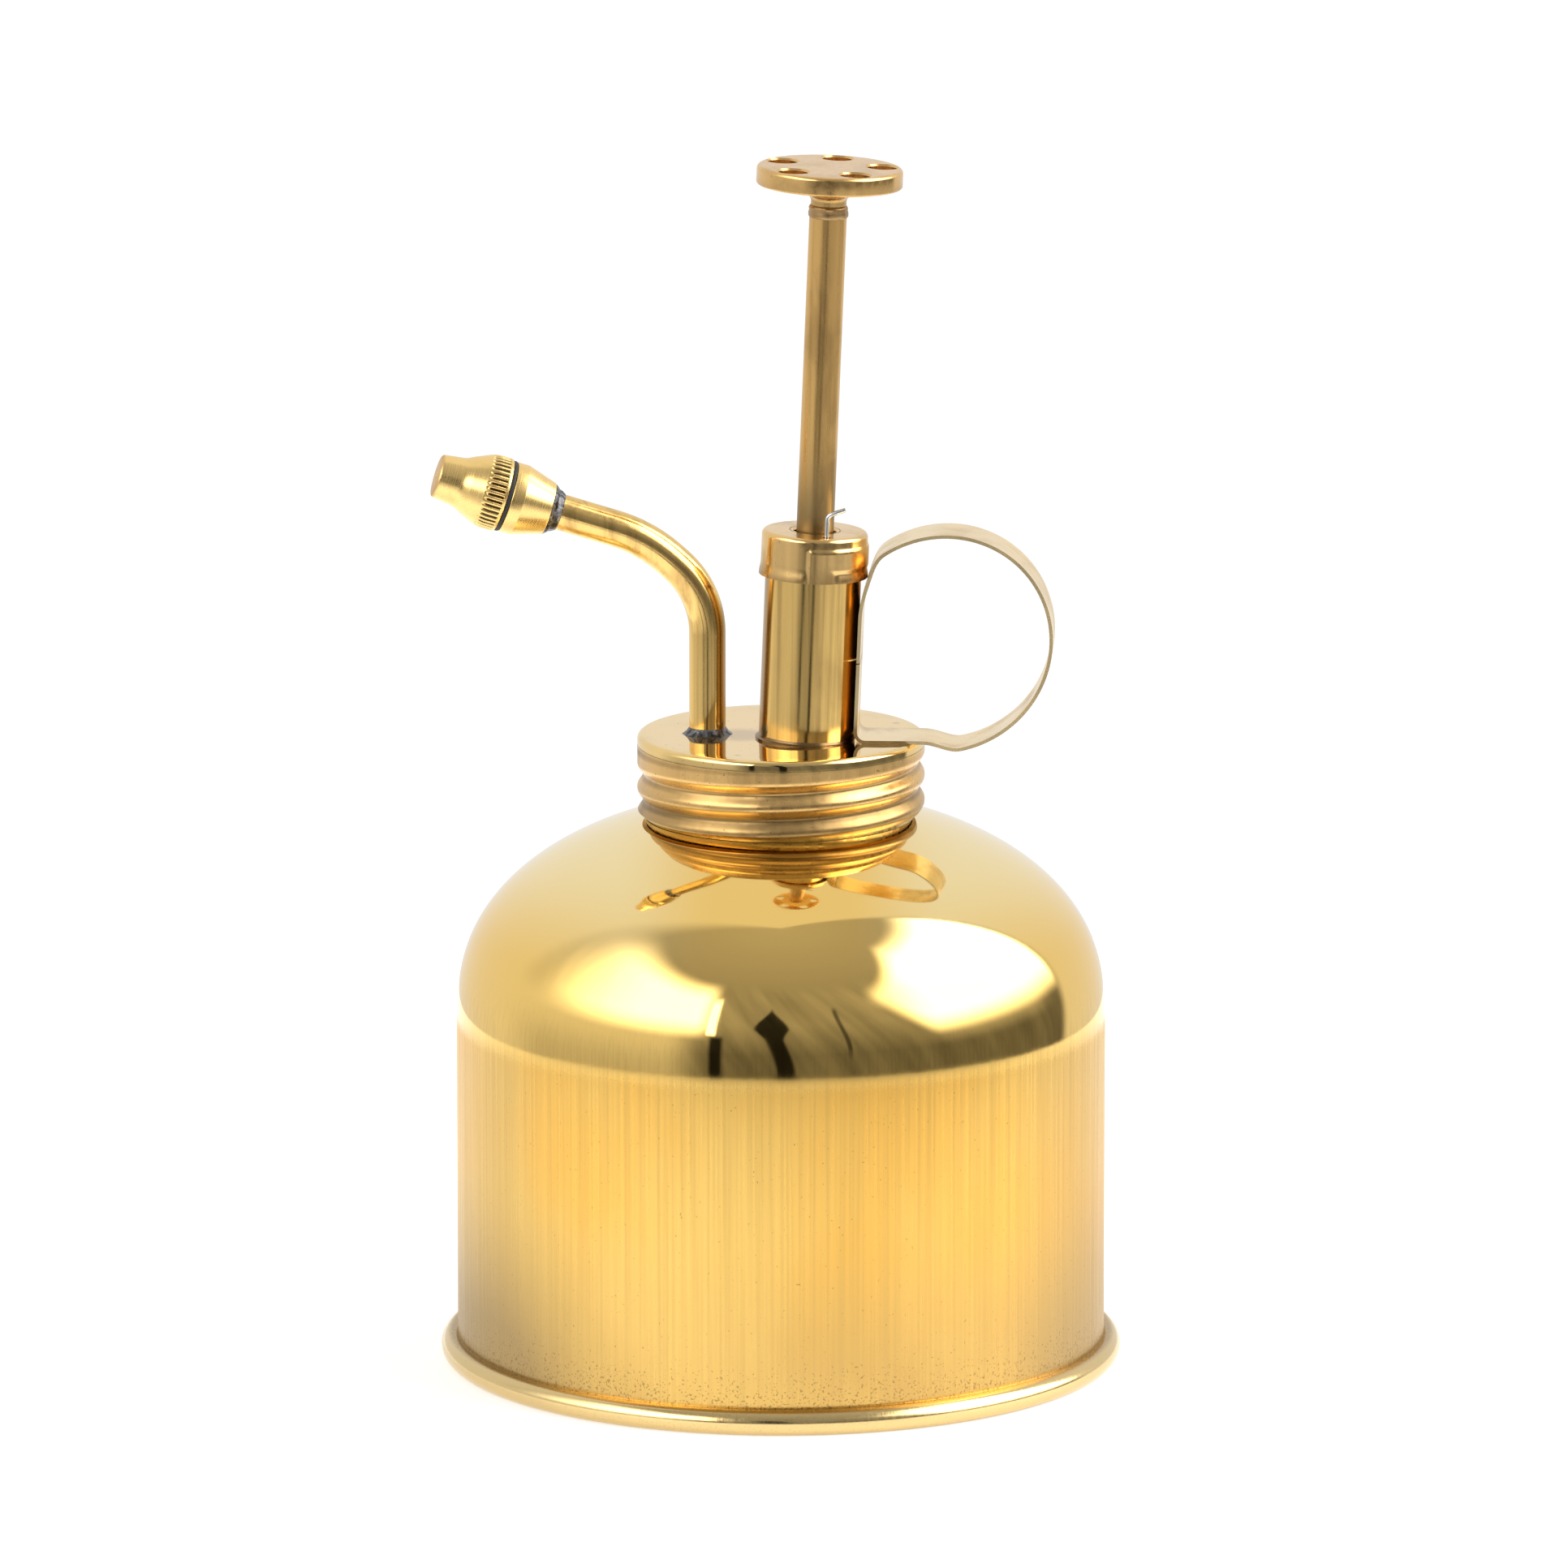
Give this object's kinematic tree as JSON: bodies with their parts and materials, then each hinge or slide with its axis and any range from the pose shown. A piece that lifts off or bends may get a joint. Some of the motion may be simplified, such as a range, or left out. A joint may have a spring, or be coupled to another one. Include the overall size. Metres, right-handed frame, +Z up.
{
  "type": "pump sprayer",
  "caption": "Brass hand plant mister: domed round reservoir, screw lid carrying a lift pump with thumb knob, curved spout with knurled spray nozzle, and strip finger loop.",
  "frame": {"origin": "centre of the rolled foot where it stands, on the reservoir's axis", "axes": "+Z up the reservoir's axis, +X towards the finger loop, -X towards the spray nozzle"},
  "size_m": [0.0908, 0.09, 0.1601],
  "materials": {
    "polished_brass": "mirror polished, lightly tarnished",
    "satin_brass": "satin, handled",
    "dull_brass": "dull turned brass",
    "solder": "dark soft solder, uneven",
    "steel_wire": "bright drawn wire and ground balls",
    "black_rubber": "matte",
    "cup_leather": "oiled"
  },
  "bodies": {
    "reservoir": {"reservoir_shell": "polished_brass", "bead_wire": "steel_wire", "base_plate": "satin_brass", "neck_collar": "dull_brass"},
    "lid_seal": {"lid_gasket": "black_rubber"},
    "lid": {"lid_cap": "polished_brass", "pump_barrel": "polished_brass", "bayonet_pin": "dull_brass", "pump_foot": "dull_brass", "intake_stop_pin": "dull_brass", "dip_tube": "dull_brass", "spout_tube": "polished_brass", "outlet_valve_body": "dull_brass", "outlet_stop_pin": "dull_brass", "finger_loop": "satin_brass", "solder_spout": "solder", "solder_barrel": "solder", "solder_nozzle": "solder", "nozzle_base": "polished_brass"},
    "barrel_cap": {"barrel_cap": "polished_brass", "return_spring": "steel_wire"},
    "plunger": {"knob_disc": "satin_brass", "knob_dish": "satin_brass", "knob_braze": "dull_brass", "plunger_rod": "dull_brass", "piston_backing": "dull_brass", "piston_cup": "cup_leather", "piston_spreader": "dull_brass", "piston_nut": "dull_brass"},
    "nozzle_seal": {"nozzle_seal": "black_rubber"},
    "nozzle": {"nozzle_cap": "polished_brass", "swirl_core": "dull_brass"},
    "intake_ball": {"intake_ball": "steel_wire"},
    "outlet_ball": {"outlet_ball": "steel_wire"}
  },
  "joints": [
    {"name": "lid_rise", "type": "slide", "parent": "reservoir", "child": "lid_seal", "axis": [0, 0, 1], "range_m": [0, 0.0068]},
    {"name": "lid_turn", "type": "hinge", "parent": "lid_seal", "child": "lid", "pos_m": [0, 0, 0.0839], "axis": [0, 0, 1], "range_deg": [0, 720]},
    {"name": "barrel_cap_twist", "type": "hinge", "parent": "lid", "child": "barrel_cap", "pos_m": [0.00336, -0.0027, 0.0839], "axis": [0.0401, 0, 0.9992], "range_deg": [0, 80]},
    {"name": "plunger_slide", "type": "slide", "parent": "barrel_cap", "child": "plunger", "axis": [-0.0401, 0, -0.9992], "range_m": [0, 0.034], "stiffness_N_per_m": 110, "springref_m": -0.012, "deforming": ["return_spring"]},
    {"name": "nozzle_advance", "type": "slide", "parent": "lid", "child": "nozzle_seal", "axis": [-0.948, -0.0913, 0.3049], "range_m": [0, 0.0015]},
    {"name": "nozzle_turn", "type": "hinge", "parent": "nozzle_seal", "child": "nozzle", "pos_m": [-0.045, -0.0039, 0.11906], "axis": [-0.948, -0.0913, 0.3049], "range_deg": [0, 540]},
    {"name": "intake_ball_lift", "type": "slide", "parent": "lid", "child": "intake_ball", "axis": [0.0401, 0, 0.9992], "range_m": [0, 0.0012]},
    {"name": "outlet_ball_lift", "type": "slide", "parent": "lid", "child": "outlet_ball", "axis": [0, 0, 1], "range_m": [0, 0.0012]}
  ],
  "couplings": [
    {"joint": "lid_rise", "follows": "lid_turn", "m_per_rad": 0.00054113},
    {"joint": "nozzle_turn", "follows": "nozzle_advance", "rad_per_m": 6283.2}
  ]
}
